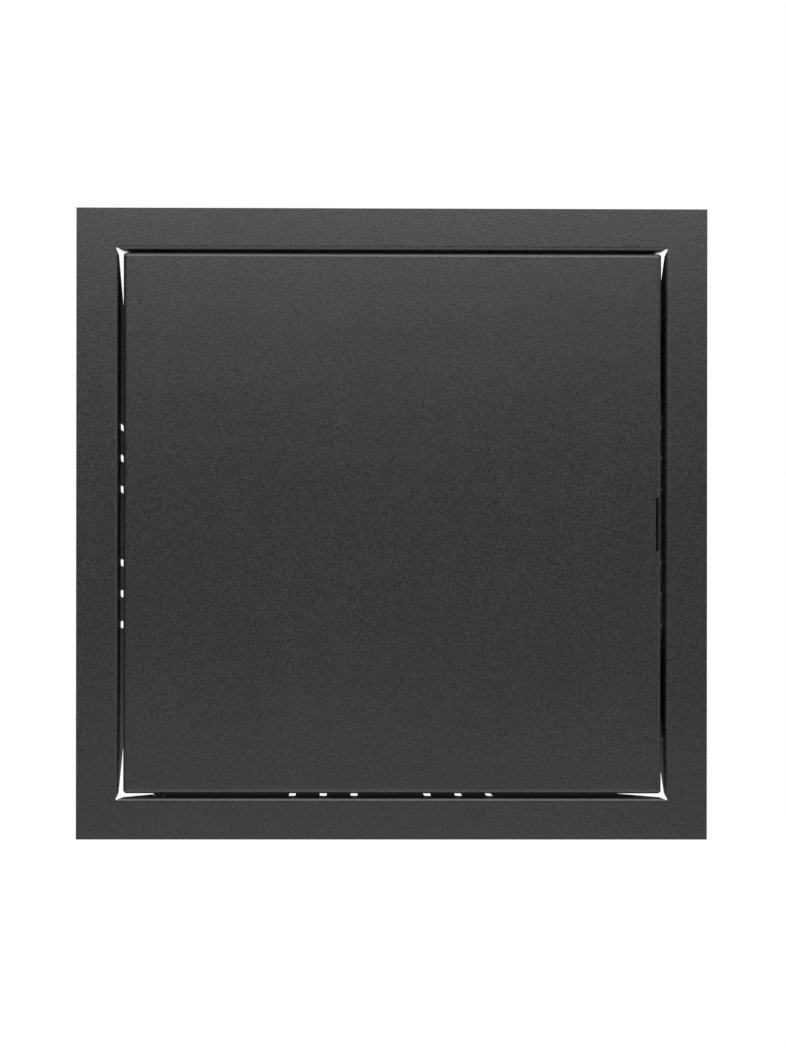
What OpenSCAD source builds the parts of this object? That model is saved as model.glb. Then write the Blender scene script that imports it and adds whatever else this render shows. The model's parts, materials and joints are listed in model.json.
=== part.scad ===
// Hinged access panel in folded sheet steel: a one-piece flanged frame with anchor tabs,
// a folded tray door that swings on two pivots at its left side, and two magnetic catches.
// X runs to the right and Z up, as seen from the room, and Y runs into the wall.
// The origin is the middle of the frame's opening, in the plane of the wall's face.

/* [Frame] */
// Overall width of the frame's flange
panel_w = 300; // [240:1:600]
// Overall height of the frame's flange
panel_h = 300; // [290:1:600]
// Width of the flange, from its outer edge to the opening
flange_w = 19.8; // [15:0.1:40]
// Thickness of the frame's sheet
frame_t = 0.6; // [0.5:0.1:1.2]
// Depth of the frame, from its front face to the rear edges of the returns
frame_depth = 30; // [29:0.5:60]
// Outer radius of every visible bend
bend_r = 2; // [1.4:0.1:3]
// Angle between the depth direction and the cut end of a side return
side_end_angle = 50; // [40:1:52]
// Distance from a corner of the opening out to the middle of its notch's tip
notch_reach = 0.7; // [0.5:0.05:0.9]
// Width of the round tip of a corner notch
notch_tip_w = 0.7; // [0.4:0.1:0.8]
// Distance from a corner at which its notch leaves a return
notch_open = 2; // [1.2:0.1:3]

/* [Anchor tabs] */
// Distance between the centres of the two tabs on a side
tab_spacing = 65.5; // [50:0.5:70]
// Distance between neighbouring slots of a tab
slot_pitch = 15; // [10:0.5:16]
// Width of the slots beside and in a tab
slot_w = 3.4; // [2:0.1:4]
// Distance from the front face to the near end of the slots
slot_start = 11.5; // [8:0.5:14]
// Sheet left between the tab's own slot and the tab's free edge
tab_bridge = 2.4; // [1.5:0.1:6]
// Angle at which a tab leans into the opening until it is bent out
tab_lean = 3; // [0:0.5:4]

/* [Door] */
// Gap beside the door on the hinge side
gap_left = 2.4; // [2.4:0.1:5]
// Gap beside the door on the catch side
gap_right = 1.9; // [1:0.1:5]
// Gap above the door
gap_top = 1.2; // [1.2:0.1:4]
// Gap below the door
gap_bottom = 2; // [1.4:0.1:5]
// Thickness of the door's sheet
door_t = 0.6; // [0.5:0.1:1.2]
// Depth of the door's tray
door_depth = 14; // [12:0.5:16]
// Width of the rear hem on the hinge side
hinge_hem_w = 8; // [5:0.5:8.5]
// Width of the rear hem on the catch side
catch_hem_w = 12; // [12:0.5:30]
// Cut across each corner of the tray, measured along an edge
corner_cut = 1.3; // [0.8:0.1:1.5]
// Open seam between two folds behind a corner of the tray
tray_seam = 0.3; // [0.1:0.1:0.6]
// Length of the slot for a lifting blade
blade_slot_len = 25.4; // [10:0.1:60]
// Width of the slot for a lifting blade
blade_slot_w = 1.8; // [0.8:0.1:2]
// Distance from the slot for a lifting blade to the door's edge
blade_slot_inset = 0.9; // [0.6:0.1:1.2]

/* [Pivots] */
// Distance from the door's left edge to the pivot axis
pivot_in = 17; // [14:0.5:20]
// Distance from the tray's rear edge to the pivot axis
pivot_from_rear = 5; // [4.6:0.1:6]
// Diameter of the sliding top pin
pin_d = 4; // [3:0.1:4.4]
// Diameter of the fixed bottom pivot where it enters the door
spigot_d = 3; // [2:0.1:3.4]
// Diameter of the bottom pivot's shoulder
shoulder_d = 4.4; // [4:0.1:6]
// Length of the bottom pivot above the door's sheet
spigot_len = 6; // [4:0.5:10]
// Radial clearance of a turning or sliding pin
running_gap = 0.05; // [0.02:0.01:0.1]
// Radial clearance of a bush or rivet in its sheet
seat_gap = 0.02; // [0.01:0.01:0.05]
// Play left under the door, above the thrust washer
end_play = 0.05; // [0.02:0.01:0.2]
// Thickness of the thrust washer's face
thrust_t = 0.45; // [0.3:0.05:0.8]
// Wall of the skirt by which the thrust washer grips the shoulder
thrust_wall = 1.2; // [0.8:0.1:1.6]
// Wall of the plastic bushes
bush_wall = 0.85; // [0.6:0.05:1]
// Width of the flange round each plastic bush
bush_rim = 1.3; // [1:0.1:1.6]
// Travel of the top pin when it is pulled down
pin_travel = 6; // [5:0.5:8]
// Length by which the top pin stands above the frame's sheet
pin_reach = 3; // [2:0.5:3.5]
// Length of the bent finger pull, from the pivot axis
pull_len = 13; // [9:0.5:16]
// Radius of the pull's bend, at the middle of the wire
pull_bend_r = 4; // [3:0.5:6]
// Length of the spring at rest
spring_len = 24; // [18:0.5:40]
// Diameter of the spring's wire
spring_wire = 0.6; // [0.4:0.1:0.8]
// Number of turns of the spring
spring_turns = 9; // [6:1:12]
// Thickness of the bracket's sheet
bracket_t = 1; // [0.8:0.1:1.2]
// Width of the bracket
bracket_w = 10; // [8:0.5:11]

/* [Catches] */
// Distance of each catch's centre from the nearer end of the opening
catch_from_corner = 52; // [51:0.5:56]
// Length of a catch housing without its ears
housing_len = 34; // [30:0.5:34]
// Distance the housing stands off the frame's return
housing_h = 14.4; // [13:0.1:20]
// Depth of the housing
housing_d = 13; // [12:0.5:14]
// Length of one fixing ear
ear_len = 8; // [7:0.5:8.5]
// Thickness of a fixing ear
ear_t = 3; // [2:0.1:4]
// Height of the magnet between its pole plates
magnet_t = 5; // [3:0.1:6]
// Thickness of a pole plate
pole_t = 1.2; // [0.8:0.1:1.6]
// Length of the pole plates
pole_len = 24; // [16:0.5:26]
// Length by which the pole plates stand out of the housing
pole_proud = 0.6; // [0.3:0.1:1]
// Play of the magnet stack in its pocket, on each side
pocket_gap = 0.2; // [0.1:0.05:0.3]
// Thickness of a strike plate
strike_t = 1; // [0.8:0.1:1.5]
// Width of a strike plate
strike_w = 9.6; // [8:0.1:9.8]
// Diameter of the rivets
rivet_d = 3.2; // [2.4:0.1:3.2]

/* [Hidden] */
$fn = 48;
overcut = 1;

coat = "#3b3d3f";
zinc = "#b9bdc0";
steel = "#8d9194";
black_plastic = "#1d1e20";
ferrite = "#3a3735";

// Frame: the opening, the front plane and the rear edges
half_w = panel_w / 2 - flange_w;
half_h = panel_h / 2 - flange_w;
front_y = -frame_t;
bend_end_y = front_y + bend_r;
rear_y = front_y + frame_depth;
notch_tip_r = notch_tip_w / 2;

// Anchor tabs: where a tab starts to lean, and the half width of what is cut round it
tab_y = front_y + slot_start + slot_w / 2;
tab_run = rear_y - tab_y;
tab_half = slot_pitch - slot_w / 2;
tab_cut_half = slot_pitch + slot_w / 2;
tab_slot_end = rear_y - tab_bridge - slot_w / 2;

// Door: edges, faces and the middle of the tray
door_x0 = -half_w + gap_left;
door_x1 = half_w - gap_right;
door_z0 = -half_h + gap_bottom;
door_z1 = half_h - gap_top;
door_w = door_x1 - door_x0;
door_h = door_z1 - door_z0;
door_cx = (door_x0 + door_x1) / 2;
door_cz = (door_z0 + door_z1) / 2;
door_inner_y = front_y + door_t;
door_rear_y = front_y + door_depth;
hem_r = 1.6;
seam_offset = tray_seam / sqrt(2);

// Pivot axis and the heights along it
pivot_x = door_x0 + pivot_in;
pivot_y = door_rear_y - pivot_from_rear;
pin_r = pin_d / 2;
spigot_r = spigot_d / 2;
shoulder_r = shoulder_d / 2;
shoulder_h = gap_bottom - thrust_t - end_play;
head_r = shoulder_r + 1.2;
head_t = 1;
thrust_r = shoulder_r + running_gap + thrust_wall;
skirt_lift = 0.3;
lower_bush_r = spigot_r + running_gap + bush_wall;
top_bush_r = pin_r + running_gap + bush_wall;
rim_t = 1;
frame_rim_t = 0.5;
snap_w = 0.35;
snap_h = 1.2;
bush_proud = 0.3;
frame_bush_len = pin_reach + 0.4;
pin_top_z = half_h + frame_t + pin_reach;
guide_rim_z = door_z1 - door_t - rim_t;
clip_t = 0.7;
clip_r = pin_r + 1.5;
groove_r = pin_r - 0.4;
groove_play = 0.05;
washer_t = 0.8;
washer_r = pin_r + 1.7;
washer_z = guide_rim_z - clip_t - washer_t;
ear_top_z = washer_z - spring_len;
spring_inner_r = pin_r + 0.5;
spring_r = spring_inner_r + spring_wire / 2;
spring_seat = 0.03;
pull_drop = 3;
pull_z = ear_top_z - bracket_t - pull_drop - pull_bend_r;
pin_tip = 0.7;

// Pin bracket: its bend, its foot on the door and the hole in its ear
bracket_bend_r = 1.8;
bracket_foot_h = 20;
ear_reach = bracket_w / 2;

// Catches: centre height, front plane, magnet stack and pocket
catch_z = half_h - catch_from_corner;
strike_rear_y = door_rear_y + strike_t;
housing_y0 = strike_rear_y + pole_proud;
housing_x0 = half_w - housing_h;
stack_half = magnet_t / 2 + pole_t;
pocket_wall = 1.3;
stack_x = housing_x0 + pocket_wall + pocket_gap + stack_half;
pocket_floor_y = housing_y0 + housing_d - 3;
magnet_set_back = 1;
magnet_len = pole_len - 4;
housing_round = 1.5;
ear_w = 8;
ear_y = housing_y0 + housing_d / 2 - 2;
ear_round = 2.5;
catch_rivet_off = housing_len / 2 + ear_len / 2;
ear_slot_travel = 1.6;

// Strike plates: their half length and rivet places
strike_rivet_off = housing_len / 2 + 3.6;
strike_half = strike_rivet_off + 4;
strike_round = 1.5;

// Rivets
rivet_r = rivet_d / 2;
rivet_head_r = rivet_r * 1.9;
rivet_head_t = rivet_r * 0.6;
rivet_bulb_r = rivet_r * 1.3;
rivet_bulb_len = rivet_r * 1.25;
rivet_core_r = rivet_r * 0.5;
rivet_core_len = 1.4;

// Lays a flat profile out along X, with its first axis on Z and its second on Y
module along_x(len) {
  rotate([0, -90, 0])
    linear_extrude(height = len, center = true)
      children();
}

// Lays an outline drawn on X and Z down the depth, from y0 to y1
module along_y(y0, y1) {
  translate([0, y1, 0])
    rotate([90, 0, 0])
      linear_extrude(height = y1 - y0)
        children();
}

// Quarter of a bent sheet, from the first axis towards the second
module bend_profile(r, t) {
  intersection() {
    difference() {
      circle(r = r);
      circle(r = r - t);
    }
    translate([-r, -r])
      square(r);
  }
}

// A slot with round ends through the sheet of a return, drawn on X and Y from y0 to y1
module slot_cut(x, y0, y1, w, depth) {
  translate([x, 0, -depth]) {
    translate([-w / 2, y0, 0])
      cube([w, y1 - y0, 2 * depth]);
    translate([0, y0, 0])
      cylinder(d = w, h = 2 * depth);
    translate([0, y1, 0])
      cylinder(d = w, h = 2 * depth);
  }
}

// Profile of one side of the frame: the bend from the flange and the return behind it
module frame_profile() {
  translate([bend_r, bend_end_y])
    bend_profile(bend_r, frame_t);
  translate([0, bend_end_y])
    square([frame_t, rear_y - bend_end_y]);
}

// Outline on X and Y that a return keeps: its ends run back at an angle from the corner
module return_outline(half_len, end_angle) {
  far = half_len + bend_r;
  drop = (rear_y - bend_end_y) * tan(end_angle);
  polygon([
    [-far, front_y - overcut], [far, front_y - overcut], [far, bend_end_y],
    [half_len, bend_end_y], [half_len - drop, rear_y],
    [-half_len + drop, rear_y], [-half_len, bend_end_y], [-far, bend_end_y]
  ]);
}

// Outline on X and Z that the bend keeps: a mitre through each corner
module mitre_outline(half_len, top) {
  polygon([
    [-half_len + overcut, -overcut], [half_len - overcut, -overcut],
    [half_len + top, top], [-half_len - top, top]
  ]);
}

// One return of the frame, for the side above the opening, before its tabs are cut
module plain_return(half_len, end_angle) {
  intersection() {
    along_x(2 * (half_len + bend_r))
      frame_profile();
    translate([0, 0, -overcut])
      linear_extrude(height = bend_r + 2 * overcut)
        return_outline(half_len, end_angle);
    along_y(front_y - overcut, rear_y + overcut)
      mitre_outline(half_len, bend_r + overcut);
  }
}

// Notch between two returns, for the corner right and above: it narrows to a round tip
module corner_notch() {
  side = notch_tip_r / sqrt(2);
  along_y(front_y - overcut, rear_y + overcut)
    polygon([
      [-notch_open, 0],
      [notch_reach - side, notch_reach + side],
      [notch_reach + side, notch_reach - side],
      [0, -notch_open],
      [-notch_open, -notch_open]
    ]);
  translate([notch_reach, front_y - overcut, notch_reach])
    rotate([-90, 0, 0])
      cylinder(r = notch_tip_r, h = frame_depth + 2 * overcut);
}

// What an anchor tab takes out of a return: the tab's own place and the round slot ends
module tab_cut() {
  translate([-tab_cut_half, tab_y, -overcut])
    cube([2 * tab_cut_half, tab_run + overcut, frame_t + 2 * overcut]);
  for (x = [-slot_pitch, 0, slot_pitch])
    translate([x, tab_y, -overcut])
      cylinder(d = slot_w, h = frame_t + 2 * overcut);
}

// An anchor tab, which leans into the opening from its root and has a slot of its own
module tab() {
  lean = tab_run * tan(tab_lean);
  difference() {
    along_x(2 * tab_half)
      polygon([
        [0, tab_y], [frame_t, tab_y],
        [frame_t - lean, rear_y], [-lean, rear_y]
      ]);
    slot_cut(0, tab_y, tab_slot_end, slot_w, 2 * frame_t + lean);
  }
}

// One finished return with its two tabs; children are further holes to cut
module frame_return(half_len, end_angle) {
  difference() {
    plain_return(half_len, end_angle);
    for (side = [-1, 1])
      translate([side * tab_spacing / 2, 0, 0])
        tab_cut();
    children();
  }
  for (side = [-1, 1])
    translate([side * tab_spacing / 2, 0, 0])
      tab();
}

// The flange and its four returns, before the corners are notched
module unnotched_frame() {
  difference() {
    translate([-panel_w / 2, front_y, -panel_h / 2])
      cube([panel_w, frame_t, panel_h]);
    translate([-half_w - bend_r, front_y - overcut, -half_h - bend_r])
      cube([2 * (half_w + bend_r), frame_t + 2 * overcut, 2 * (half_h + bend_r)]);
  }
  translate([0, 0, half_h])
    frame_return(half_w, 90 - side_end_angle)
      translate([pivot_x, pivot_y, -overcut])
        cylinder(r = top_bush_r + seat_gap, h = frame_t + 2 * overcut);
  translate([0, 0, -half_h])
    rotate([0, 180, 0])
      frame_return(half_w, 90 - side_end_angle)
        translate([-pivot_x, pivot_y, -overcut])
          cylinder(r = spigot_r + seat_gap, h = frame_t + 2 * overcut);
  translate([half_w, 0, 0])
    rotate([0, 90, 0])
      frame_return(half_h, side_end_angle)
        for (z = [-catch_z, catch_z], off = [-catch_rivet_off, catch_rivet_off])
          translate([z + off, ear_y, -overcut])
            cylinder(r = rivet_r + seat_gap, h = frame_t + 2 * overcut);
  translate([-half_w, 0, 0])
    rotate([0, -90, 0])
      frame_return(half_h, side_end_angle);
}

// Frame, folded from one sheet: the returns are the flaps of its own window
module frame() {
  corners = [[1, 1, 0], [1, -1, 90], [-1, -1, 180], [-1, 1, 270]];
  color(coat)
    difference() {
      unnotched_frame();
      for (corner = corners)
        translate([corner[0] * half_w, 0, corner[1] * half_h])
          rotate([0, corner[2], 0])
            corner_notch();
    }
}

// Profile of one side of the tray: the front bend, the return and, with a hem, the rear bend
module tray_profile(hem) {
  straight_end = hem > 0 ? door_rear_y - hem_r : door_rear_y;
  translate([bend_r, bend_end_y])
    bend_profile(bend_r, door_t);
  translate([0, bend_end_y])
    square([door_t, straight_end - bend_end_y]);
  if (hem > 0) {
    translate([hem_r, straight_end])
      mirror([0, 1])
        bend_profile(hem_r, door_t);
    translate([hem_r, door_rear_y - door_t])
      square([hem - hem_r, door_t]);
  }
}

// Outline on X and Z that one side of the tray keeps, with mitred ends
module tray_mitre(half_len, reach) {
  polygon([
    [-half_len - overcut, -overcut], [half_len + overcut, -overcut],
    [half_len - reach, reach], [-half_len + reach, reach]
  ]);
}

// One side of the tray, drawn for the edge below it: closed in front and open behind
module tray_side(half_len, hem) {
  reach = max(hem, bend_r) + overcut;
  intersection() {
    along_x(2 * half_len)
      tray_profile(hem);
    union() {
      along_y(front_y - overcut, bend_end_y)
        tray_mitre(half_len, reach);
      along_y(front_y - overcut, door_rear_y + overcut)
        tray_mitre(half_len - seam_offset, reach);
    }
  }
}

// Door, folded from one sheet to a tray, with a slot at the catch side for a lifting blade
module door_panel() {
  color(coat)
    difference() {
      union() {
        translate([door_x0 + bend_r, front_y, door_z0 + bend_r])
          cube([door_w - 2 * bend_r, door_t, door_h - 2 * bend_r]);
        translate([door_cx, 0, door_z0])
          tray_side(door_w / 2, 0);
        translate([door_cx, 0, door_z1])
          rotate([0, 180, 0])
            tray_side(door_w / 2, 0);
        translate([door_x0, 0, door_cz])
          rotate([0, 90, 0])
            tray_side(door_h / 2, hinge_hem_w);
        translate([door_x1, 0, door_cz])
          rotate([0, -90, 0])
            tray_side(door_h / 2, catch_hem_w);
      }
      for (x = [door_x0, door_x1], z = [door_z0, door_z1])
        translate([x, front_y + door_depth / 2, z])
          rotate([0, 45, 0])
            cube(
              [corner_cut * sqrt(2), door_depth + 2 * overcut, corner_cut * sqrt(2)],
              center = true
            );
      translate([door_x1 - blade_slot_inset - blade_slot_w, front_y - overcut, -blade_slot_len / 2])
        cube([blade_slot_w, bend_r + overcut, blade_slot_len]);
      translate([pivot_x, pivot_y, door_z0 - overcut])
        cylinder(r = lower_bush_r + seat_gap, h = door_t + 2 * overcut);
      translate([pivot_x, pivot_y, door_z1 - door_t - overcut])
        cylinder(r = top_bush_r + seat_gap, h = door_t + 2 * overcut);
      for (z = [-catch_z, catch_z], off = [-strike_rivet_off, strike_rivet_off])
        translate([stack_x, door_rear_y - door_t - overcut, z + off])
          rotate([-90, 0, 0])
            cylinder(r = rivet_r + seat_gap, h = door_t + 2 * overcut);
    }
}

// Bottom pivot, riveted to the frame: its shoulder carries the door and its spigot guides it
module lower_pivot_stud() {
  color(zinc)
    translate([pivot_x, pivot_y, -half_h]) {
      translate([0, 0, -frame_t - head_t])
        cylinder(r1 = head_r - 0.6, r2 = head_r, h = head_t);
      translate([0, 0, -frame_t])
        cylinder(r = spigot_r, h = frame_t);
      cylinder(r = shoulder_r, h = shoulder_h);
      translate([0, 0, shoulder_h])
        cylinder(r = spigot_r, h = gap_bottom - shoulder_h + spigot_len - pin_tip);
      translate([0, 0, gap_bottom + spigot_len - pin_tip])
        cylinder(r1 = spigot_r, r2 = spigot_r - pin_tip, h = pin_tip);
    }
}

// Cup-shaped washer over the bottom pivot's shoulder, on which the door turns
module lower_thrust_washer() {
  color(black_plastic)
    translate([pivot_x, pivot_y, -half_h])
      difference() {
        translate([0, 0, skirt_lift])
          cylinder(r = thrust_r, h = shoulder_h + thrust_t - skirt_lift);
        cylinder(r = shoulder_r + running_gap, h = shoulder_h);
        cylinder(r = spigot_r + running_gap, h = gap_bottom + overcut);
      }
}

// Flanged bush in the door's lower return, with a snap edge below the flange's own side
module lower_pivot_bush() {
  bush_len = door_t + rim_t + 2;
  color(black_plastic)
    translate([pivot_x, pivot_y, door_z0])
      difference() {
        union() {
          cylinder(r = lower_bush_r, h = bush_len);
          translate([0, 0, door_t])
            cylinder(r = lower_bush_r + bush_rim, h = rim_t);
        }
        translate([0, 0, -overcut])
          cylinder(r = spigot_r + running_gap, h = bush_len + 2 * overcut);
      }
}

// Flanged snap-in bush in the frame's upper return, which takes the end of the top pin
module upper_pivot_bush() {
  bore_r = pin_r + running_gap;
  top = frame_t + frame_bush_len;
  color(black_plastic)
    translate([pivot_x, pivot_y, half_h])
      rotate_extrude()
        polygon([
          [bore_r, -frame_rim_t], [top_bush_r + bush_rim, -frame_rim_t],
          [top_bush_r + bush_rim, 0], [top_bush_r, 0],
          [top_bush_r, frame_t + seat_gap], [top_bush_r + snap_w, frame_t + seat_gap],
          [top_bush_r, frame_t + snap_h], [top_bush_r, top], [bore_r, top]
        ]);
}

// Flanged bush in the door's upper return, which guides the top pin and stops its clip
module pin_guide_bush() {
  bore_r = pin_r + running_gap;
  color(black_plastic)
    translate([pivot_x, pivot_y, guide_rim_z])
      difference() {
        union() {
          cylinder(r = top_bush_r, h = rim_t + door_t + bush_proud);
          cylinder(r = top_bush_r + bush_rim, h = rim_t);
        }
        translate([0, 0, -overcut])
          cylinder(r = bore_r, h = rim_t + door_t + bush_proud + 2 * overcut);
      }
}

// Bracket spot-welded inside the door: its ear guides the top pin and carries the spring
module pin_bracket() {
  color(zinc)
    translate([pivot_x, 0, ear_top_z])
      difference() {
        union() {
          translate([-bracket_w / 2, door_inner_y, -bracket_t + bracket_bend_r])
            cube([bracket_w, bracket_t, bracket_foot_h - bracket_bend_r]);
          translate([0, door_inner_y + bracket_bend_r, -bracket_t + bracket_bend_r])
            along_x(bracket_w)
              bend_profile(bracket_bend_r, bracket_t);
          translate([-bracket_w / 2, door_inner_y + bracket_bend_r, -bracket_t])
            cube([bracket_w, pivot_y - door_inner_y - bracket_bend_r, bracket_t]);
          translate([0, pivot_y, -bracket_t])
            cylinder(r = ear_reach, h = bracket_t);
        }
        translate([0, pivot_y, -bracket_t - overcut])
          cylinder(r = pin_r + running_gap, h = bracket_t + 2 * overcut);
      }
}

// Sliding top pin, bent at its lower end to a finger pull, with a groove for its clip
module spring_pin() {
  clip_z = guide_rim_z - clip_t - groove_play;
  clip_top_z = guide_rim_z + groove_play;
  bend_z = pull_z + pull_bend_r;
  color(steel)
    translate([pivot_x, pivot_y, 0]) {
      translate([0, 0, bend_z])
        cylinder(r = pin_r, h = clip_z - bend_z);
      translate([0, 0, clip_z])
        cylinder(r = groove_r, h = clip_top_z - clip_z);
      translate([0, 0, clip_top_z])
        cylinder(r = pin_r, h = pin_top_z - pin_tip - clip_top_z);
      translate([0, 0, pin_top_z - pin_tip])
        cylinder(r1 = pin_r, r2 = pin_r - pin_tip, h = pin_tip);
      translate([0, pull_bend_r, bend_z])
        rotate([0, 90, 0])
          rotate([0, 0, -90])
            rotate_extrude(angle = 90)
              translate([pull_bend_r, 0])
                circle(r = pin_r);
      translate([0, pull_bend_r, pull_z])
        rotate([-90, 0, 0])
          cylinder(r = pin_r, h = pull_len - pull_bend_r - pin_tip);
      translate([0, pull_len - pin_tip, pull_z])
        rotate([-90, 0, 0])
          cylinder(r1 = pin_r, r2 = pin_r - pin_tip, h = pin_tip);
    }
}

// Outline of the retaining clip: three lugs that reach into the groove, open at one side
module clip_outline() {
  relief_r = pin_r + 0.6;
  lug_w = 1.6;
  difference() {
    circle(r = clip_r);
    circle(r = relief_r);
    translate([0, -clip_r])
      square([2 * groove_r, 2 * clip_r], center = true);
  }
  for (turn = [0, 120, 240])
    rotate(turn)
      translate([-lug_w / 2, groove_r + groove_play])
        square([lug_w, relief_r - groove_r]);
}

// Retaining clip in the pin's groove, which stops the pin under the guide bush
module pin_clip() {
  color(steel)
    translate([pivot_x, pivot_y, guide_rim_z - clip_t])
      linear_extrude(height = clip_t)
        clip_outline();
}

// Washer between the clip and the spring
module pin_washer() {
  color(zinc)
    translate([pivot_x, pivot_y, washer_z])
      difference() {
        cylinder(r = washer_r, h = washer_t);
        translate([0, 0, -overcut])
          cylinder(r = pin_r + running_gap, h = washer_t + 2 * overcut);
      }
}

// Compression spring: the first and last turns are closed, and the rest rise evenly
spring_ring_n = 8;
spring_steps = 16;
spring_rise = spring_len - 2 * spring_seat - spring_wire;
closed_rise = spring_wire * 1.05;
open_rise = (spring_rise - 2 * closed_rise) / (spring_turns - 2);
function spring_z(turn) =
  turn < 1 ? turn * closed_rise
  : turn > spring_turns - 1 ? spring_rise - (spring_turns - turn) * closed_rise
  : closed_rise + (turn - 1) * open_rise;
function spring_point(turn, side) =
  let (a = 360 * side / spring_ring_n + 180 / spring_ring_n)
  let (r = spring_r + cos(a) * spring_wire / 2)
  [r * cos(360 * turn), r * sin(360 * turn), spring_z(turn) + sin(a) * spring_wire / 2];
module pin_spring() {
  rings = spring_turns * spring_steps;
  points = [
    for (i = [0 : rings], s = [0 : spring_ring_n - 1]) spring_point(i / spring_steps, s)
  ];
  sides = [
    for (i = [0 : rings - 1], s = [0 : spring_ring_n - 1])
      let (next = (s + 1) % spring_ring_n)
      [
        i * spring_ring_n + s, (i + 1) * spring_ring_n + s,
        (i + 1) * spring_ring_n + next, i * spring_ring_n + next
      ]
  ];
  start_cap = [[for (s = [0 : spring_ring_n - 1]) s]];
  end_cap = [[for (s = [spring_ring_n - 1 : -1 : 0]) rings * spring_ring_n + s]];
  color(steel)
    translate([pivot_x, pivot_y, ear_top_z + spring_seat + spring_wire / 2])
      polyhedron(points = points, faces = concat(sides, start_cap, end_cap));
}

// Rounded block drawn on Z and Y, standing off the return along X
module catch_block(len, depth, y0, x0, x1, round_r) {
  translate([x0, y0 + depth / 2, 0])
    rotate([0, 90, 0])
      linear_extrude(height = x1 - x0)
        rounded_rect(len, depth, round_r);
}

// Rectangle with round corners, centred
module rounded_rect(len, depth, r) {
  square([len - 2 * r, depth], center = true);
  square([len, depth - 2 * r], center = true);
  for (x = [-1, 1], y = [-1, 1])
    translate([x * (len / 2 - r), y * (depth / 2 - r)])
      circle(r = r);
}

// Housing of a magnetic catch, with a pocket for the magnet stack and two slotted ears
module catch_housing(z) {
  color(black_plastic)
    translate([0, 0, z])
      difference() {
        union() {
          catch_block(housing_len, housing_d, housing_y0, housing_x0, half_w, housing_round);
          catch_block(
            housing_len + 2 * ear_len, ear_w, ear_y - ear_w / 2, half_w - ear_t, half_w, ear_round
          );
        }
        translate([
          stack_x - stack_half - pocket_gap, housing_y0 - overcut, -pole_len / 2 - pocket_gap
        ])
          cube([
            2 * (stack_half + pocket_gap),
            pocket_floor_y - housing_y0 + overcut,
            pole_len + 2 * pocket_gap
          ]);
        for (off = [-catch_rivet_off, catch_rivet_off])
          translate([half_w, 0, off])
            rotate([0, 90, 0])
              slot_cut(
                0, ear_y - ear_slot_travel / 2, ear_y + ear_slot_travel / 2,
                rivet_d + 0.2, ear_t + overcut
              );
      }
}

// Ferrite magnet block of a catch
module catch_magnet(z) {
  y0 = strike_rear_y + magnet_set_back;
  color(ferrite)
    translate([stack_x - magnet_t / 2, y0, z - magnet_len / 2])
      cube([magnet_t, pocket_floor_y - y0, magnet_len]);
}

// The two steel pole plates that lie on either face of the magnet
module catch_poles(z) {
  color(zinc)
    for (x = [stack_x - stack_half, stack_x + magnet_t / 2])
      translate([x, strike_rear_y, z - pole_len / 2])
        cube([pole_t, pocket_floor_y - strike_rear_y, pole_len]);
}

// Steel plate on the door's hem that the poles hold
module strike_plate(z) {
  color(zinc)
    translate([stack_x, 0, z])
      difference() {
        along_y(door_rear_y, strike_rear_y)
          rounded_rect(strike_w, 2 * strike_half, strike_round);
        for (off = [-strike_rivet_off, strike_rivet_off])
          translate([0, door_rear_y - overcut, off])
            rotate([-90, 0, 0])
              cylinder(r = rivet_r + seat_gap, h = strike_t + 2 * overcut);
      }
}

// Blind rivet along Z: the head stands on z = 0 and the bulb lies past the grip, below it
module blind_rivet(grip) {
  difference() {
    union() {
      cylinder(r1 = rivet_head_r, r2 = rivet_head_r * 0.62, h = rivet_head_t);
      translate([0, 0, -grip])
        cylinder(r = rivet_r, h = grip);
      translate([0, 0, -grip - rivet_bulb_len / 2])
        cylinder(r = rivet_bulb_r, h = rivet_bulb_len / 2);
      translate([0, 0, -grip - rivet_bulb_len])
        cylinder(r1 = rivet_r, r2 = rivet_bulb_r, h = rivet_bulb_len / 2);
    }
    translate([0, 0, rivet_head_t - rivet_core_len])
      cylinder(r = rivet_core_r, h = rivet_core_len + overcut);
  }
}

// Rivets that hold the catch housings to the frame
module catch_rivets() {
  color(zinc)
    for (z = [-catch_z, catch_z], off = [-catch_rivet_off, catch_rivet_off])
      translate([half_w - ear_t, ear_y, z + off])
        rotate([0, -90, 0])
          blind_rivet(ear_t + frame_t);
}

// Rivets that hold the strike plates to the door's hem
module strike_rivets() {
  color(zinc)
    for (z = [-catch_z, catch_z], off = [-strike_rivet_off, strike_rivet_off])
      translate([stack_x, strike_rear_y, z + off])
        rotate([-90, 0, 0])
          blind_rivet(strike_t + door_t);
}

frame();
door_panel();
lower_pivot_stud();
lower_thrust_washer();
lower_pivot_bush();
upper_pivot_bush();
pin_guide_bush();
pin_bracket();
spring_pin();
pin_clip();
pin_washer();
pin_spring();
catch_housing(catch_z);  // upper_catch_housing
catch_housing(-catch_z);  // lower_catch_housing
catch_magnet(catch_z);  // upper_catch_magnet
catch_magnet(-catch_z);  // lower_catch_magnet
catch_poles(catch_z);  // upper_catch_poles
catch_poles(-catch_z);  // lower_catch_poles
strike_plate(catch_z);  // upper_strike_plate
strike_plate(-catch_z);  // lower_strike_plate
catch_rivets();
strike_rivets();
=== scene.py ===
# %% [markdown]
# # A flush access panel, dressed for its portrait
# The object is a steel hatch for a wall: a folded frame, a tray door that swings on two
# pivots, a sprung pin that lets the door be lifted out, and two magnetic catches.
# Its shapes come finished from the CAD model, so the lesson here is about three things: a camera
# that looks the way the photograph does, light that shows a dark matte coat, and finishes
# that are right at a millimetre's scale. Only the spring is modelled anew, from round wire.

import json
import math

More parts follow.
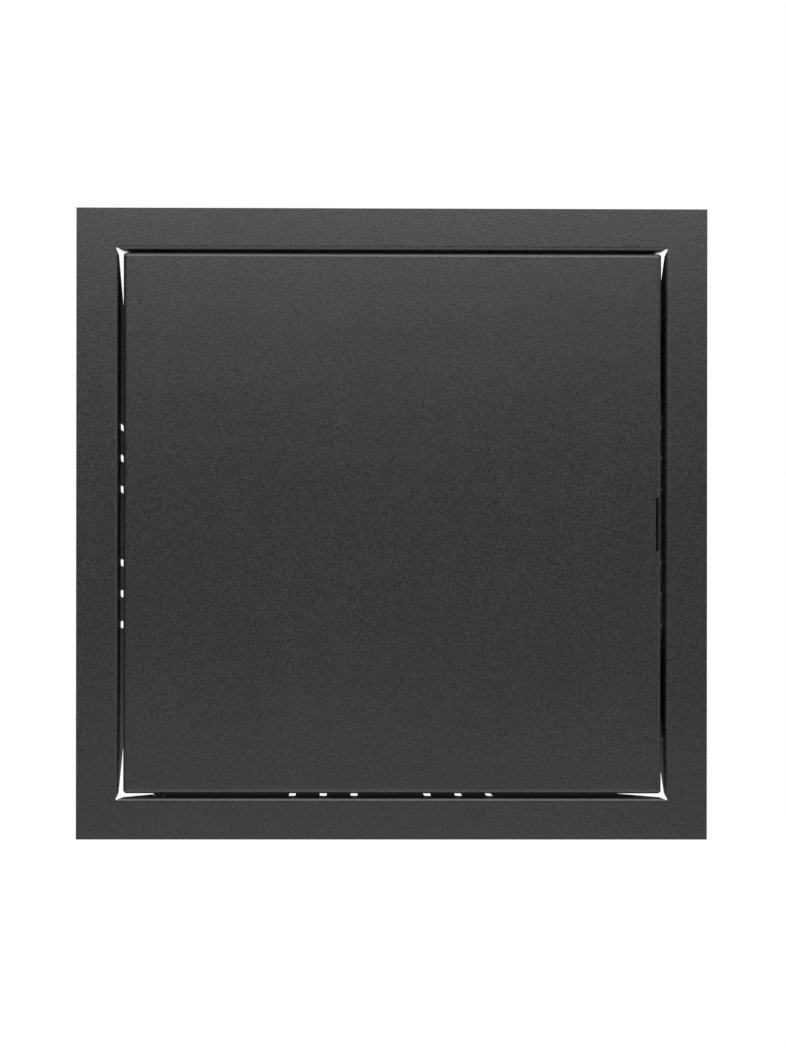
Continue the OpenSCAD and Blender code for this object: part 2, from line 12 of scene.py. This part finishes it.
import bpy
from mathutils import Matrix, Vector


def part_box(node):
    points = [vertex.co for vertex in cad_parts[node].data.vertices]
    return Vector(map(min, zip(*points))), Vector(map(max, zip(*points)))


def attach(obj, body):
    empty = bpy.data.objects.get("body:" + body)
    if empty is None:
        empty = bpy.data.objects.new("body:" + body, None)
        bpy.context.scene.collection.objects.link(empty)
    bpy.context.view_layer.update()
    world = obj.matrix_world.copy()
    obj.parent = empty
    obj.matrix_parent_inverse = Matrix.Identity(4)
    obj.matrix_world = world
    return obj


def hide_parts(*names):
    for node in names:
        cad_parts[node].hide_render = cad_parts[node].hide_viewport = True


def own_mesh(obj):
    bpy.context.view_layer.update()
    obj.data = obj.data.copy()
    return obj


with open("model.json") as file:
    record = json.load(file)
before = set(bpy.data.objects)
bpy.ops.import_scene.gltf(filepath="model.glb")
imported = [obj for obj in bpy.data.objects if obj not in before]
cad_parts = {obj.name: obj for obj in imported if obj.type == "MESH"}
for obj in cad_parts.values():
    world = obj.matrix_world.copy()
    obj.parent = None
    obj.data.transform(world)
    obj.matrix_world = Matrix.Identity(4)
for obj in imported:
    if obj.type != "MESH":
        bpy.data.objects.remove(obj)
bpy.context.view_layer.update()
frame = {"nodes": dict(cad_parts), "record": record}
print("nodes:", len(frame["nodes"]))

# %% [markdown]
# ## The camera
# The door's gaps show how the picture was taken: more of the left and lower returns is seen
# than of the right and upper ones, so the camera stood a little left of the panel's middle
# and below it. The panel's edges hardly converge, so it looked almost straight at the wall:
# the left edge is 0.3 % longer than the right one, which is a turn of half a degree. Turning
# the camera further would bend the square, so the picture is framed by shifting the lens.

# %% Place the camera
MM = 0.001
PHOTO_SIZE = (786, 1048)
SENSOR_MM = 36.0
SCALE = 0.4752 * MM                      # metres across one pixel, at the panel's face
PANEL_PX = (392.1, 524.0)                # the panel's middle in the picture
FOOT_PX = (337.0, 645.0)                 # the point of the wall nearest to the lens
LENS_PX = 1700.0                         # distance to the panel, in pixels of its face
TURN = math.radians(0.48)                # to the right, away from the longer left edge
TILT = math.radians(-0.06)               # about the line of sight

FRONT_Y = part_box("frame")[0].y


def place_camera():
    data = bpy.data.cameras.new("portrait_lens")
    data.sensor_fit = "AUTO"
    data.sensor_width = SENSOR_MM
    data.lens = SENSOR_MM * LENS_PX / PHOTO_SIZE[1]
    camera = bpy.data.objects.new("portrait_camera", data)
    camera.location = (
        (FOOT_PX[0] - PANEL_PX[0]) * SCALE,
        FRONT_Y - LENS_PX * SCALE,
        (PANEL_PX[1] - FOOT_PX[1]) * SCALE,
    )
    camera.rotation_euler = (math.radians(90), TILT, -TURN)
    middle = Vector((0, FRONT_Y, 0)) - camera.location
    middle.rotate(camera.rotation_euler.to_matrix().inverted())
    right = PHOTO_SIZE[0] / 2 + LENS_PX * middle.x / -middle.z
    down = PHOTO_SIZE[1] / 2 - LENS_PX * middle.y / -middle.z
    data.shift_x = (right - PANEL_PX[0]) / PHOTO_SIZE[1]
    data.shift_y = (PANEL_PX[1] - down) / PHOTO_SIZE[1]
    bpy.context.scene.collection.objects.link(camera)
    bpy.context.scene.camera = camera
    return camera


camera = place_camera()
print("camera at", [round(v, 3) for v in camera.location], "lens", round(camera.data.lens, 1))
print("lens shift", round(camera.data.shift_x, 3), round(camera.data.shift_y, 3))

# %% [markdown]
# ## Two small tools
# Every finish below is a network of nodes. One function adds a node, sets it and links it,
# so a finish reads as a list of what feeds what. Colours are written as the sRGB values
# that an eye or a paint card gives, and one function turns them to the linear values that
# the renderer adds and multiplies.

# %% Colour and node helpers


def linear(hex_colour):
    channels = [int(hex_colour[i:i + 2], 16) / 255 for i in (1, 3, 5)]
    return tuple(
        c / 12.92 if c <= 0.04045 else ((c + 0.055) / 1.055) ** 2.4 for c in channels
    ) + (1.0,)


def add_node(tree, kind, settings=None, links=None):
    """Adds a node; a setting's or link's key is a property, a socket's name or its number."""
    node = tree.nodes.new(kind)
    for key, value in (settings or {}).items():
        if isinstance(key, str) and hasattr(node, key):
            setattr(node, key, value)
        else:
            node.inputs[key].default_value = value
    for key, source in (links or {}).items():
        tree.links.new(source, node.inputs[key])
    return node


def new_material(name):
    material = bpy.data.materials.new(name)
    material.use_nodes = True
    material.node_tree.nodes.clear()
    return material, material.node_tree


print("middle grey in linear light:", round(linear("#808080")[0], 3))

# %% [markdown]
# ## Rays that see white
# The photograph shows plain white all round and through the gaps. A real white room would
# need a great deal of light, which would wash out the dark coat. So the white is a colour
# that only some rays see: those from the camera, from shiny faces and through glass. Blender
# tells a shader which kind of ray is asking, as a 0 or a 1 for each kind.

# %% Ask for the kind of a ray
WHITE = linear("#ffffff")


def ray_is(tree, *kinds):
    """1 for a ray of any of these kinds, and 0 for another one."""
    path = add_node(tree, "ShaderNodeLightPath")
    answer = path.outputs[kinds[0]]
    for kind in kinds[1:]:
        either = add_node(
            tree, "ShaderNodeMath", {"operation": "MAXIMUM"}, {0: answer, 1: path.outputs[kind]}
        )
        answer = either.outputs[0]
    return answer


print("white in linear light:", WHITE[:3])

# %% [markdown]
# ## The room
# Matt faces get a modest level of light from all round, a little more from overhead. Shiny
# faces mirror a white studio, but for two patches. Ahead, where the camera stands, and to
# the left it is dim at eye level and grows white overhead: that makes the panel lighter
# towards its top edge and draws a dark line down the door's left bend. Straight behind lies
# the dark cavity of the wall, which is why the gaps round the door read as black although
# the folded steel is not. Each patch is a ramp over the direction in which a ray leaves.

# %% White surroundings
MATT_LEVEL = (0.2, 0.3)                  # from eye level and from overhead
DIM_LEVEL = 0.01
CAVITY_LEVEL = 0.006
OVERHEAD = (0.15, 0.95)
RAMPS = {                                # axis, the cosines to it at both ends, the values there
    "ahead": ("Y", (-0.4, -0.8), (0.0, 1.0)),
    "left": ("X", (-0.3, -0.7), (0.0, 1.0)),
    "cavity": ("Y", (0.4, 0.7), (0.0, 1.0)),
    "dim": ("Z", OVERHEAD, (DIM_LEVEL, 1.0)),
    "matt": ("Z", OVERHEAD, MATT_LEVEL),
}


def make_world():
    world = bpy.data.worlds.new("white_studio")
    world.use_nodes = True
    tree = world.node_tree
    tree.nodes.clear()
    way = add_node(tree, "ShaderNodeTexCoord").outputs["Generated"]
    to = add_node(tree, "ShaderNodeSeparateXYZ", links={0: way})
    ramp = {
        name: add_node(
            tree, "ShaderNodeMapRange",
            {"From Min": start, "From Max": end, "To Min": low, "To Max": high},
            {"Value": to.outputs[axis]},
        ).outputs[0]
        for name, (axis, (start, end), (low, high)) in RAMPS.items()
    }
    patch = add_node(
        tree, "ShaderNodeMath", {"operation": "MAXIMUM"}, {0: ramp["ahead"], 1: ramp["left"]}
    )
    studio = add_node(
        tree, "ShaderNodeMix", {"data_type": "FLOAT", 2: 1.0}, {0: patch.outputs[0], 3: ramp["dim"]}
    )
    mirrored, matt = [
        add_node(
            tree, "ShaderNodeMix", {"data_type": "FLOAT", 3: CAVITY_LEVEL},
            {0: ramp["cavity"], 2: level},
        )
        for level in (studio.outputs[0], ramp["matt"])
    ]
    unseen = add_node(
        tree, "ShaderNodeMix", {"data_type": "FLOAT"},
        {0: ray_is(tree, "Is Glossy Ray"), 2: matt.outputs[0], 3: mirrored.outputs[0]},
    )
    strength = add_node(
        tree, "ShaderNodeMix", {"data_type": "FLOAT", 3: 1.0},
        {0: ray_is(tree, "Is Camera Ray", "Is Transmission Ray"), 2: unseen.outputs[0]},
    )
    light = add_node(
        tree, "ShaderNodeBackground", {"Color": WHITE}, {"Strength": strength.outputs[0]}
    )
    add_node(tree, "ShaderNodeOutputWorld", links={"Surface": light.outputs[0]})
    bpy.context.scene.world = world
    return world


world = make_world()
print("the room is made of", len(world.node_tree.nodes), "nodes")

# %% [markdown]
# ## The floor
# The floor is matt white paint, well below the panel. Most of its white is a glow for the
# rays that see white, and the rest is the paint itself, which holds the panel's shadow.

# %% A pale floor
FLOOR_Z = -0.75
FLOOR_HALF = 6.0
FLOOR_LIFT = 0.92                        # the part of the floor's white that no shadow dims


def make_floor():
    bpy.ops.mesh.primitive_plane_add(size=2 * FLOOR_HALF, location=(0, 0, FLOOR_Z))
    floor = bpy.context.object
    floor.name = "studio_floor"
    material, tree = new_material("matt_white_floor_paint")
    lift = add_node(
        tree, "ShaderNodeMath", {"operation": "MULTIPLY", 1: FLOOR_LIFT},
        {0: ray_is(tree, "Is Camera Ray", "Is Glossy Ray", "Is Transmission Ray")},
    )
    glow = add_node(tree, "ShaderNodeEmission", {"Color": WHITE}, {"Strength": lift.outputs[0]})
    paint = add_node(tree, "ShaderNodeBsdfDiffuse", {"Color": linear("#b4b4b4")})
    both = add_node(tree, "ShaderNodeAddShader", links={0: paint.outputs[0], 1: glow.outputs[0]})
    add_node(tree, "ShaderNodeOutputMaterial", links={"Surface": both.outputs[0]})
    floor.data.materials.append(material)


make_floor()
print("floor lies", round(-FLOOR_Z / MM), "mm below the panel's middle")

# %% [markdown]
# ## The light
# A dark coat has little colour of its own, so most of what the eye reads on it is the soft
# reflection of the lamps and the room. The photograph is brightest along the top of the
# flange and door, dimmest just below the middle, and a little brighter again at the bottom,
# and the bends that face up carry a thin bright line. So two wide softboxes stand above the
# camera, one high and one lower, with a narrow strip almost overhead for the bends, and a
# weak strip low in front. A softbox behind, low and to the left, shows the panel's back, and
# a weak one to the right just catches the left return, the fine line in the left gap.

# %% Lamps
LAMPS = {                                # elevation and azimuth, distance and size in m, watts
    "high_softbox": (55, 0, 0.95, (1.2, 0.4), 3.2),
    "upper_softbox": (35, 0, 0.95, (1.2, 0.4), 3.0),
    "ceiling_strip": (75, 0, 0.95, (1.6, 0.3), 1.1),
    "front_fill": (15, -10, 1.2, (1.0, 1.0), 0.25),
    "low_front_strip": (-25, 0, 0.95, (1.0, 0.3), 0.35),
    "rear_left_softbox": (-10, -130, 1.3, (0.8, 0.8), 10.0),
    "rear_right_softbox": (-10, 130, 1.3, (0.8, 0.8), 2.0),
}


def add_lamp(name, elevation, azimuth, distance, size, watts):
    """An area lamp aimed at the panel; azimuth 0 is in front, and positive ones are right."""
    up, side = math.radians(elevation), math.radians(azimuth)
    data = bpy.data.lights.new(name, "AREA")
    data.shape = "RECTANGLE"
    data.size, data.size_y = size
    data.energy = watts
    lamp = bpy.data.objects.new(name, data)
    lamp.location = Vector((
        math.cos(up) * math.sin(side), -math.cos(up) * math.cos(side), math.sin(up)
    )) * distance
    lamp.rotation_euler = (-lamp.location).to_track_quat("-Z", "Y").to_euler()
    bpy.context.scene.collection.objects.link(lamp)


for name, lamp in LAMPS.items():
    add_lamp(name, *lamp)
print("lamps:", ", ".join(LAMPS))

# %% [markdown]
# ## Powder coat on folded sheet
# Frame and door are degreased steel sheet with a polyester powder coat, stoved after folding.
# The powder is a fine-texture anthracite: grains about a millimetre apart that melt into a
# matt skin with soft crests. To the eye it is a charcoal without tint, faintly mottled, with
# a wide dull sheen. The grain is drawn as colour and as bump from the same noise, so light
# and tone agree, and a much wider noise lets the tone drift as the film's thickness does.
# The film's index is the usual 1.5. Its specular level is matched to the photograph, where
# the coat takes on a little more of the light above it than a plain film would.

# %% Powder coat finish
COAT_DARK, COAT_LIGHT = linear("#0c0c0c"), linear("#323232")
COAT_NOISES = {                          # size in mm, detail and roughness
    "grain": (0.9, 2.0, 0.55),
    "crest": (0.5, 1.0, 0.5),
    "drift": (60.0, 3.0, 0.5),
}
NOISE_SPAN = (0.3, 0.7)                  # nearly all of a noise lies between these values
COAT_RANGES = {                          # what each value follows, and how far it goes
    "tone": ("grain", (0.0, 1.0)),
    "film": ("drift", (0.86, 1.14)),
    "rough": ("grain", (0.33, 0.40)),
}
CREST_SHARE = 0.5                        # height of the crests, as a part of the grain's
COAT_RELIEF_MM = 0.06
COAT_SPECULAR = 0.75


def per_metre(size_mm):
    """A noise scale that gives features of this size, for coordinates in metres."""
    return 1.0 / (size_mm * MM)


def powder_coat():
    material, tree = new_material("polyester_powder_coat_fine_texture")
    where = add_node(tree, "ShaderNodeTexCoord").outputs["Object"]
    noise = {
        name: add_node(
            tree, "ShaderNodeTexNoise",
            {"Scale": per_metre(size), "Detail": detail, "Roughness": rough}, {"Vector": where},
        ).outputs["Fac"]
        for name, (size, detail, rough) in COAT_NOISES.items()
    }
    value = {
        name: add_node(
            tree, "ShaderNodeMapRange",
            {"From Min": NOISE_SPAN[0], "From Max": NOISE_SPAN[1], "To Min": low, "To Max": high},
            {"Value": noise[source]},
        ).outputs[0]
        for name, (source, (low, high)) in COAT_RANGES.items()
    }
    tone = add_node(
        tree, "ShaderNodeMix", {"data_type": "RGBA", 6: COAT_DARK, 7: COAT_LIGHT},
        {0: value["tone"]},
    )
    colour = add_node(
        tree, "ShaderNodeVectorMath", {"operation": "SCALE"},
        {0: tone.outputs[2], "Scale": value["film"]},
    )
    relief = add_node(
        tree, "ShaderNodeMath", {"operation": "MULTIPLY_ADD", 1: CREST_SHARE},
        {0: noise["crest"], 2: noise["grain"]},
    )
    bump = add_node(
        tree, "ShaderNodeBump", {"Strength": 1.0, "Distance": COAT_RELIEF_MM * MM},
        {"Height": relief.outputs[0]},
    )
    skin = add_node(
        tree, "ShaderNodeBsdfPrincipled",
        {"Metallic": 0.0, "IOR": 1.5, "Specular IOR Level": COAT_SPECULAR},
        {"Base Color": colour.outputs[0], "Roughness": value["rough"], "Normal": bump.outputs[0]},
    )
    add_node(tree, "ShaderNodeOutputMaterial", links={"Surface": skin.outputs[0]})
    return material


coat = powder_coat()
print("coat grain every", COAT_NOISES["grain"][0], "mm")

# %% [markdown]
# ## Metal finishes
# The small steel parts are not coated. Bracket, washer, stud, strike and pole plates are zinc
# plated and clear passivated: a pale, cool metal with a cloudy, slightly uneven shine. Pin,
# clip and spring are drawn wire and hardened strip, darker and streaked by the die. The blind
# rivets are plain aluminium. All three are one network with different numbers, so it is one
# function. Streaks run along the part's long direction, which stretches the noise that way.
# A die's scratches are finer than these streaks, which are drawn coarse enough to show.

# %% Zinc, drawn steel and aluminium
CLOUD_MM = 4.0
CLOUD_SPAN = (0.25, 0.75)
METAL_ROUGH_SPREAD = 0.07
FAINT_BUMP = 0.3


def plain_metal(name, dark, light, roughness, streak_mm, bump_mm):
    material, tree = new_material(name)
    where = add_node(tree, "ShaderNodeTexCoord").outputs["Object"]
    cloud = add_node(
        tree, "ShaderNodeTexNoise",
        {"Scale": per_metre(CLOUD_MM), "Detail": 3.0, "Roughness": 0.6}, {"Vector": where},
    )
    along = add_node(
        tree, "ShaderNodeMapping",
        {"Scale": [per_metre(step) for step in streak_mm]}, {"Vector": where},
    )
    streak = add_node(
        tree, "ShaderNodeTexNoise", {"Scale": 1.0, "Detail": 2.0, "Roughness": 0.6},
        {"Vector": along.outputs[0]},
    )
    tone = add_node(
        tree, "ShaderNodeMix", {"data_type": "RGBA", 6: linear(dark), 7: linear(light)},
        {0: cloud.outputs["Fac"]},
    )
    rough = add_node(
        tree, "ShaderNodeMapRange",
        {"From Min": CLOUD_SPAN[0], "From Max": CLOUD_SPAN[1],
         "To Min": roughness - METAL_ROUGH_SPREAD, "To Max": roughness + METAL_ROUGH_SPREAD},
        {"Value": cloud.outputs["Fac"]},
    )
    bump = add_node(
        tree, "ShaderNodeBump", {"Strength": FAINT_BUMP, "Distance": bump_mm * MM},
        {"Height": streak.outputs["Fac"]},
    )
    metal = add_node(
        tree, "ShaderNodeBsdfPrincipled", {"Metallic": 1.0},
        {"Base Color": tone.outputs[2], "Roughness": rough.outputs[0], "Normal": bump.outputs[0]},
    )
    add_node(tree, "ShaderNodeOutputMaterial", links={"Surface": metal.outputs[0]})
    return material


zinc = plain_metal("zinc_plate_clear_passivated", "#aeb3b6", "#ccd0d2", 0.34, (0.6, 0.6, 6.0), 0.01)
wire = plain_metal("drawn_steel_wire", "#75787a", "#96999b", 0.30, (0.15, 0.15, 5.0), 0.008)
alloy = plain_metal("aluminium_rivet_wire", "#c2c4c6", "#dcdee0", 0.38, (0.3, 0.3, 0.3), 0.01)
print("metals:", zinc.name, wire.name, alloy.name)

# %% [markdown]
# ## Plastic and magnet
# Bushes, washer and catch housings are black nylon, moulded in an eroded tool, which leaves
# an even satin grain. The magnets are pressed and sintered ferrite, ground on two faces: a
# grey-brown ceramic with no shine and small pores. Grain and pores are about 0.1 mm on the
# real pieces and would not show, so both are drawn a few times coarser.

# %% Nylon and ferrite
NYLON_GRAIN_MM = 0.35
FERRITE_PORE_MM = 0.6
GRAIN_ROUGH_SPREAD = 0.06


def grained_solid(name, dark, light, grain_mm, roughness, bump_mm, specular):
    material, tree = new_material(name)
    where = add_node(tree, "ShaderNodeTexCoord").outputs["Object"]
    grain = add_node(
        tree, "ShaderNodeTexNoise",
        {"Scale": per_metre(grain_mm), "Detail": 2.0, "Roughness": 0.5}, {"Vector": where},
    )
    tone = add_node(
        tree, "ShaderNodeMix", {"data_type": "RGBA", 6: linear(dark), 7: linear(light)},
        {0: grain.outputs["Fac"]},
    )
    rough = add_node(
        tree, "ShaderNodeMapRange",
        {"To Min": roughness - GRAIN_ROUGH_SPREAD, "To Max": roughness + GRAIN_ROUGH_SPREAD},
        {"Value": grain.outputs["Fac"]},
    )
    bump = add_node(
        tree, "ShaderNodeBump", {"Strength": FAINT_BUMP, "Distance": bump_mm * MM},
        {"Height": grain.outputs["Fac"]},
    )
    solid = add_node(
        tree, "ShaderNodeBsdfPrincipled", {"Metallic": 0.0, "Specular IOR Level": specular},
        {"Base Color": tone.outputs[2], "Roughness": rough.outputs[0], "Normal": bump.outputs[0]},
    )
    add_node(tree, "ShaderNodeOutputMaterial", links={"Surface": solid.outputs[0]})
    return material


nylon = grained_solid("black_nylon_moulded", "#161617", "#202022", NYLON_GRAIN_MM, 0.46, 0.02, 0.5)
ferrite = grained_solid("sintered_ferrite", "#33312f", "#45423f", FERRITE_PORE_MM, 0.72, 0.04, 0.3)
print("non-metals:", nylon.name, ferrite.name)

# %% [markdown]
# ## Dressing the CAD pieces
# A CAD piece whose shape is right only needs its finish. The record says which slot each
# piece takes, so the finishes are handed out by slot and no piece can be forgotten.

# %% Hand out the finishes
FINISH_OF_SLOT = {
    "coated_sheet": coat,
    "zinc_plated_steel": zinc,
    "bright_steel": wire,
    "black_nylon": nylon,
    "ferrite": ferrite,
    "rivet_alloy": alloy,
}
slot_of = {part["node"]: part["material_slot"] for part in frame["record"]["subparts"]}


def dress(obj, material):
    obj.data.materials.clear()
    obj.data.materials.append(material)


for name, obj in frame["nodes"].items():
    dress(obj, FINISH_OF_SLOT[slot_of[name]])
print("dressed", len(frame["nodes"]), "CAD pieces")

# %% [markdown]
# ## Working with operators
# Blender's operators act on whatever is selected, as a hand on the mouse does. So everything
# is deselected before a piece is made. A finished piece has its place in its mesh and its
# object at the origin, as the CAD pieces have, so one helper settles it there.

# %% Deselect and settle


def deselect_all():
    if bpy.context.object and bpy.context.object.mode != "OBJECT":
        bpy.ops.object.mode_set(mode="OBJECT")
    bpy.ops.object.select_all(action="DESELECT")


def settle(obj, name):
    """Puts a finished piece's place into its mesh and leaves the object at the origin."""
    deselect_all()
    obj.select_set(True)
    bpy.context.view_layer.objects.active = obj
    bpy.ops.object.transform_apply(location=True, rotation=True, scale=True)
    obj.name = name
    obj.data.name = name
    return obj


deselect_all()
print("selected:", len(bpy.context.selected_objects))

# %% [markdown]
# ## The spring's wire
# CAD keeps the spring coarse. A real one is round wire wound at an even pitch with a closed
# turn at each end. It is made in runs: a ring of wire stands on the coil's radius and is
# screwed round the pin's axis, rising as it goes.

# %% One run of wire
WIRE_D = 0.6 * MM
WIRE_SIDES = 14
TURN_STEPS = 40


def winding(coil_radius, centre, start_z, turns, rise):
    """One run of the spring: a ring of wire, screwed up by rise over that many turns."""
    deselect_all()
    bpy.ops.mesh.primitive_circle_add(
        vertices=WIRE_SIDES, radius=WIRE_D / 2,
        location=(coil_radius, 0, 0), rotation=(math.radians(90), 0, 0),
    )
    run = bpy.context.object
    settle(run, "winding")
    screw = run.modifiers.new("coil", "SCREW")
    screw.axis = "Z"
    screw.angle = math.radians(360 * turns)
    screw.screw_offset = rise
    screw.steps = screw.render_steps = TURN_STEPS * turns
    screw.use_merge_vertices = False
    bpy.ops.object.modifier_apply(modifier="coil")
    run.location = (centre.x, centre.y, start_z)
    return settle(run, "winding")


print("a turn of wire has", WIRE_SIDES * TURN_STEPS, "faces")

# %% [markdown]
# ## The spring, joined
# Three runs make the spring: a closed turn, the open ones and another closed turn. They are
# joined where their last rings meet, and the two ends of the wire are capped.

# %% Wind the spring
OPEN_TURNS = 7
CLOSED_PITCH = 1.05 * WIRE_D             # the closed turns lie just clear of their neighbours
WELD = 0.02 * MM
SMOOTH_ANGLE = math.radians(40)


def wind_spring(low, high):
    centre = (low + high) / 2
    coil_radius = (high.x - low.x - WIRE_D) / 2
    start = low.z + WIRE_D / 2
    open_rise = high.z - low.z - WIRE_D - 2 * CLOSED_PITCH
    runs = [
        winding(coil_radius, centre, start, 1, CLOSED_PITCH),
        winding(coil_radius, centre, start + CLOSED_PITCH, OPEN_TURNS, open_rise),
        winding(coil_radius, centre, start + CLOSED_PITCH + open_rise, 1, CLOSED_PITCH),
    ]
    deselect_all()
    for run in runs:
        run.select_set(True)
    bpy.context.view_layer.objects.active = runs[0]
    bpy.ops.object.join()
    spring = bpy.context.object
    bpy.ops.object.mode_set(mode="EDIT")
    bpy.ops.mesh.select_all(action="SELECT")
    bpy.ops.mesh.remove_doubles(threshold=WELD)
    bpy.ops.mesh.select_all(action="DESELECT")
    bpy.ops.mesh.select_mode(type="EDGE")
    bpy.ops.mesh.select_non_manifold()
    bpy.ops.mesh.edge_face_add()
    bpy.ops.mesh.select_all(action="SELECT")
    bpy.ops.mesh.normals_make_consistent(inside=False)
    bpy.ops.object.mode_set(mode="OBJECT")
    bpy.ops.object.shade_smooth_by_angle(angle=SMOOTH_ANGLE)
    return settle(spring, "pin_spring_wire")


low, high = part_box("pin_spring")
spring = wind_spring(low, high)
dress(spring, wire)
print("spring has", len(spring.data.polygons), "faces")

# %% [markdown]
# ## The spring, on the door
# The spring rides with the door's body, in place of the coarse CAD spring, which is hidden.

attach(spring, "door_body")
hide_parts("pin_spring")
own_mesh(spring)

# %% [markdown]
# ## Finish
# The render uses Blender's Standard view transform.

# %% View transform
bpy.context.scene.view_settings.view_transform = "Standard"
